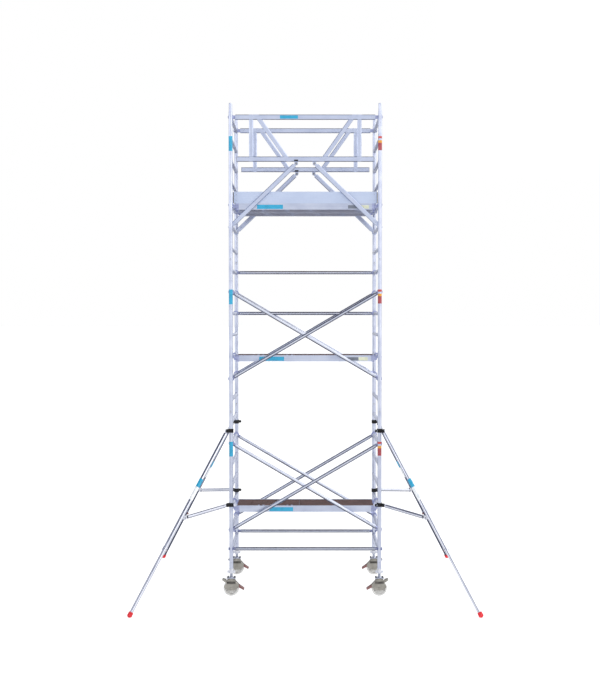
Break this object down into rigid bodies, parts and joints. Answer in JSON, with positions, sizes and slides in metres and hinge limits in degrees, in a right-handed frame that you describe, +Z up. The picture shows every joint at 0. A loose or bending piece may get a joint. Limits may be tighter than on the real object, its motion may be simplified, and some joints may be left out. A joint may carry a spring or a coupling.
{
  "type": "mobile tower scaffold",
  "caption": "Mobile aluminium tower scaffold with ladder frames, braked adjustable casters, hatch platforms, guardrails and splayed telescopic stabilisers.",
  "frame": {"origin": "on the floor, at the centre of the tower's base", "axes": "+Z up, +X along the platforms, +Y from the front face to the rear face"},
  "size_m": [4.285, 3.67, 6.342],
  "materials": {
    "frame_aluminium": "drawn tube, satin",
    "brace_aluminium": "drawn tube, satin",
    "cast_aluminium": "cast, tumbled",
    "rail_aluminium": "extruded, satin",
    "deck_aluminium": "extruded, satin",
    "deck_plywood": "phenolic film faced",
    "toe_board_aluminium": "extruded, satin",
    "zinc_steel": "zinc plated",
    "grey_plastic": "moulded",
    "fork_steel": "zinc and paint, dull",
    "wheel_plastic": "moulded polyurethane",
    "pedal_steel": "painted, worn",
    "black_steel": "black painted",
    "stabiliser_aluminium": "drawn tube, satin",
    "red_rubber": "moulded rubber"
  },
  "bodies": {
    "root": {"left_base_frame": "frame_aluminium", "left_middle_frame": "frame_aluminium", "left_top_frame": "frame_aluminium", "right_base_frame": "frame_aluminium", "right_middle_frame": "frame_aluminium", "right_top_frame": "frame_aluminium", "diagonal_braces": "brace_aluminium", "horizontal_braces": "brace_aluminium", "hook_claws": "cast_aluminium", "guardrail_frames": "rail_aluminium", "lower_platform_frame": "deck_aluminium", "middle_platform_frame": "deck_aluminium", "top_platform_frames": "deck_aluminium", "deck_boards": "deck_plywood", "toe_boards": "toe_board_aluminium"},
    "lock_pins": {"frame_lock_pins": "zinc_steel"},
    "latch_buttons": {"latch_buttons": "grey_plastic"},
    "lower_hatch": {"lower_hatch": "deck_plywood"},
    "middle_hatch": {"middle_hatch": "deck_plywood"},
    "top_hatch": {"top_hatch": "deck_plywood"},
    "front_left_guardrail_leg": {"front_left_guardrail_leg": "rail_aluminium"},
    "front_right_guardrail_leg": {"front_right_guardrail_leg": "rail_aluminium"},
    "rear_left_guardrail_leg": {"rear_left_guardrail_leg": "rail_aluminium"},
    "rear_right_guardrail_leg": {"rear_right_guardrail_leg": "rail_aluminium"},
    "front_left_caster_spindle": {"front_left_caster_spindle": "zinc_steel"},
    "front_left_adjusting_nut": {"front_left_adjusting_nut": "zinc_steel"},
    "front_left_caster_fork": {"front_left_caster_fork": "fork_steel"},
    "front_left_caster_wheel": {"front_left_caster_wheel": "wheel_plastic"},
    "front_left_brake_pedal": {"front_left_brake_pedal": "pedal_steel"},
    "front_left_stabiliser": {"front_left_stabiliser_clamps": "black_steel", "front_left_stabiliser_leg": "stabiliser_aluminium"},
    "front_left_inner_leg": {"front_left_stabiliser_inner_leg": "stabiliser_aluminium", "front_left_stabiliser_foot": "red_rubber"},
    "front_right_caster_spindle": {"front_right_caster_spindle": "zinc_steel"},
    "front_right_adjusting_nut": {"front_right_adjusting_nut": "zinc_steel"},
    "front_right_caster_fork": {"front_right_caster_fork": "fork_steel"},
    "front_right_caster_wheel": {"front_right_caster_wheel": "wheel_plastic"},
    "front_right_brake_pedal": {"front_right_brake_pedal": "pedal_steel"},
    "front_right_stabiliser": {"front_right_stabiliser_clamps": "black_steel", "front_right_stabiliser_leg": "stabiliser_aluminium"},
    "front_right_inner_leg": {"front_right_stabiliser_inner_leg": "stabiliser_aluminium", "front_right_stabiliser_foot": "red_rubber"},
    "rear_left_caster_spindle": {"rear_left_caster_spindle": "zinc_steel"},
    "rear_left_adjusting_nut": {"rear_left_adjusting_nut": "zinc_steel"},
    "rear_left_caster_fork": {"rear_left_caster_fork": "fork_steel"},
    "rear_left_caster_wheel": {"rear_left_caster_wheel": "wheel_plastic"},
    "rear_left_brake_pedal": {"rear_left_brake_pedal": "pedal_steel"},
    "rear_left_stabiliser": {"rear_left_stabiliser_clamps": "black_steel", "rear_left_stabiliser_leg": "stabiliser_aluminium"},
    "rear_left_inner_leg": {"rear_left_stabiliser_inner_leg": "stabiliser_aluminium", "rear_left_stabiliser_foot": "red_rubber"},
    "rear_right_caster_spindle": {"rear_right_caster_spindle": "zinc_steel"},
    "rear_right_adjusting_nut": {"rear_right_adjusting_nut": "zinc_steel"},
    "rear_right_caster_fork": {"rear_right_caster_fork": "fork_steel"},
    "rear_right_caster_wheel": {"rear_right_caster_wheel": "wheel_plastic"},
    "rear_right_brake_pedal": {"rear_right_brake_pedal": "pedal_steel"},
    "rear_right_stabiliser": {"rear_right_stabiliser_clamps": "black_steel", "rear_right_stabiliser_leg": "stabiliser_aluminium"},
    "rear_right_inner_leg": {"rear_right_stabiliser_inner_leg": "stabiliser_aluminium", "rear_right_stabiliser_foot": "red_rubber"}
  },
  "joints": [
    {"name": "lock_pins_pull", "type": "slide", "parent": "root", "child": "lock_pins", "axis": [0, -1, 0], "range_m": [0, 0.06]},
    {"name": "latch_buttons_press", "type": "slide", "parent": "root", "child": "latch_buttons", "axis": [0, 1, 0], "range_m": [0, 0.003], "stiffness_N_per_m": 1500, "springref_m": -0.002},
    {"name": "lower_hatch_hinge", "type": "hinge", "parent": "root", "child": "lower_hatch", "pos_m": [0, -0.495, 1.153], "axis": [1, 0, 0], "range_deg": [0, 90]},
    {"name": "middle_hatch_hinge", "type": "hinge", "parent": "root", "child": "middle_hatch", "pos_m": [0, -0.495, 3.113], "axis": [1, 0, 0], "range_deg": [0, 90]},
    {"name": "top_hatch_hinge", "type": "hinge", "parent": "root", "child": "top_hatch", "pos_m": [0, -0.04, 5.073], "axis": [-1, 0, 0], "range_deg": [0, 90]},
    {"name": "front_left_guardrail_leg_fold", "type": "hinge", "parent": "root", "child": "front_left_guardrail_leg", "pos_m": [-0.117, -0.607, 5.578], "axis": [0, -1, 0], "range_deg": [0, 45]},
    {"name": "front_right_guardrail_leg_fold", "type": "hinge", "parent": "root", "child": "front_right_guardrail_leg", "pos_m": [0.117, -0.607, 5.578], "axis": [0, 1, 0], "range_deg": [0, 45]},
    {"name": "rear_left_guardrail_leg_fold", "type": "hinge", "parent": "root", "child": "rear_left_guardrail_leg", "pos_m": [-0.117, 0.607, 5.578], "axis": [0, -1, 0], "range_deg": [0, 45]},
    {"name": "rear_right_guardrail_leg_fold", "type": "hinge", "parent": "root", "child": "rear_right_guardrail_leg", "pos_m": [0.117, 0.607, 5.578], "axis": [0, 1, 0], "range_deg": [0, 45]},
    {"name": "front_left_nut_turn", "type": "hinge", "parent": "root", "child": "front_left_adjusting_nut", "pos_m": [-0.9575, -0.65, 0.32], "axis": [0, 0, 1], "range_deg": [-1800, 9000]},
    {"name": "front_left_height", "type": "slide", "parent": "root", "child": "front_left_caster_spindle", "axis": [0, 0, -1], "range_m": [-0.04, 0.2]},
    {"name": "front_left_swivel", "type": "hinge", "parent": "front_left_caster_spindle", "child": "front_left_caster_fork", "pos_m": [-0.9575, -0.65, 0.22], "axis": [0, 0, 1], "continuous": true},
    {"name": "front_left_wheel_roll", "type": "hinge", "parent": "front_left_caster_fork", "child": "front_left_caster_wheel", "pos_m": [-0.9575, -0.65, 0.1], "axis": [0, 1, 0], "continuous": true},
    {"name": "front_left_brake", "type": "hinge", "parent": "front_left_caster_fork", "child": "front_left_brake_pedal", "pos_m": [-0.9575, -0.65, 0.176], "axis": [0, -1, 0], "range_deg": [0, 10]},
    {"name": "front_left_stabiliser_swing", "type": "hinge", "parent": "root", "child": "front_left_stabiliser", "pos_m": [-0.9575, -0.65, 1.6], "axis": [0, 0, 1], "range_deg": [-20, 20]},
    {"name": "front_left_stabiliser_extend", "type": "slide", "parent": "front_left_stabiliser", "child": "front_left_inner_leg", "axis": [-0.4202, -0.4202, -0.8043], "range_m": [-0.3, 0.3]},
    {"name": "front_right_nut_turn", "type": "hinge", "parent": "root", "child": "front_right_adjusting_nut", "pos_m": [0.9575, -0.65, 0.32], "axis": [0, 0, 1], "range_deg": [-1800, 9000]},
    {"name": "front_right_height", "type": "slide", "parent": "root", "child": "front_right_caster_spindle", "axis": [0, 0, -1], "range_m": [-0.04, 0.2]},
    {"name": "front_right_swivel", "type": "hinge", "parent": "front_right_caster_spindle", "child": "front_right_caster_fork", "pos_m": [0.9575, -0.65, 0.22], "axis": [0, 0, 1], "continuous": true},
    {"name": "front_right_wheel_roll", "type": "hinge", "parent": "front_right_caster_fork", "child": "front_right_caster_wheel", "pos_m": [0.9575, -0.65, 0.1], "axis": [0, 1, 0], "continuous": true},
    {"name": "front_right_brake", "type": "hinge", "parent": "front_right_caster_fork", "child": "front_right_brake_pedal", "pos_m": [0.9575, -0.65, 0.176], "axis": [0, 1, 0], "range_deg": [0, 10]},
    {"name": "front_right_stabiliser_swing", "type": "hinge", "parent": "root", "child": "front_right_stabiliser", "pos_m": [0.9575, -0.65, 1.6], "axis": [0, 0, 1], "range_deg": [-20, 20]},
    {"name": "front_right_stabiliser_extend", "type": "slide", "parent": "front_right_stabiliser", "child": "front_right_inner_leg", "axis": [0.4202, -0.4202, -0.8043], "range_m": [-0.3, 0.3]},
    {"name": "rear_left_nut_turn", "type": "hinge", "parent": "root", "child": "rear_left_adjusting_nut", "pos_m": [-0.9575, 0.65, 0.32], "axis": [0, 0, 1], "range_deg": [-1800, 9000]},
    {"name": "rear_left_height", "type": "slide", "parent": "root", "child": "rear_left_caster_spindle", "axis": [0, 0, -1], "range_m": [-0.04, 0.2]},
    {"name": "rear_left_swivel", "type": "hinge", "parent": "rear_left_caster_spindle", "child": "rear_left_caster_fork", "pos_m": [-0.9575, 0.65, 0.22], "axis": [0, 0, 1], "continuous": true},
    {"name": "rear_left_wheel_roll", "type": "hinge", "parent": "rear_left_caster_fork", "child": "rear_left_caster_wheel", "pos_m": [-0.9575, 0.65, 0.1], "axis": [0, 1, 0], "continuous": true},
    {"name": "rear_left_brake", "type": "hinge", "parent": "rear_left_caster_fork", "child": "rear_left_brake_pedal", "pos_m": [-0.9575, 0.65, 0.176], "axis": [0, -1, 0], "range_deg": [0, 10]},
    {"name": "rear_left_stabiliser_swing", "type": "hinge", "parent": "root", "child": "rear_left_stabiliser", "pos_m": [-0.9575, 0.65, 1.6], "axis": [0, 0, 1], "range_deg": [-20, 20]},
    {"name": "rear_left_stabiliser_extend", "type": "slide", "parent": "rear_left_stabiliser", "child": "rear_left_inner_leg", "axis": [-0.4202, 0.4202, -0.8043], "range_m": [-0.3, 0.3]},
    {"name": "rear_right_nut_turn", "type": "hinge", "parent": "root", "child": "rear_right_adjusting_nut", "pos_m": [0.9575, 0.65, 0.32], "axis": [0, 0, 1], "range_deg": [-1800, 9000]},
    {"name": "rear_right_height", "type": "slide", "parent": "root", "child": "rear_right_caster_spindle", "axis": [0, 0, -1], "range_m": [-0.04, 0.2]},
    {"name": "rear_right_swivel", "type": "hinge", "parent": "rear_right_caster_spindle", "child": "rear_right_caster_fork", "pos_m": [0.9575, 0.65, 0.22], "axis": [0, 0, 1], "continuous": true},
    {"name": "rear_right_wheel_roll", "type": "hinge", "parent": "rear_right_caster_fork", "child": "rear_right_caster_wheel", "pos_m": [0.9575, 0.65, 0.1], "axis": [0, 1, 0], "continuous": true},
    {"name": "rear_right_brake", "type": "hinge", "parent": "rear_right_caster_fork", "child": "rear_right_brake_pedal", "pos_m": [0.9575, 0.65, 0.176], "axis": [0, 1, 0], "range_deg": [0, 10]},
    {"name": "rear_right_stabiliser_swing", "type": "hinge", "parent": "root", "child": "rear_right_stabiliser", "pos_m": [0.9575, 0.65, 1.6], "axis": [0, 0, 1], "range_deg": [-20, 20]},
    {"name": "rear_right_stabiliser_extend", "type": "slide", "parent": "rear_right_stabiliser", "child": "rear_right_inner_leg", "axis": [0.4202, 0.4202, -0.8043], "range_m": [-0.3, 0.3]}
  ],
  "couplings": [
    {"joint": "front_left_nut_turn", "follows": "front_left_height", "rad_per_m": 785.4},
    {"joint": "front_right_nut_turn", "follows": "front_right_height", "rad_per_m": 785.4},
    {"joint": "rear_left_nut_turn", "follows": "rear_left_height", "rad_per_m": 785.4},
    {"joint": "rear_right_nut_turn", "follows": "rear_right_height", "rad_per_m": 785.4}
  ]
}
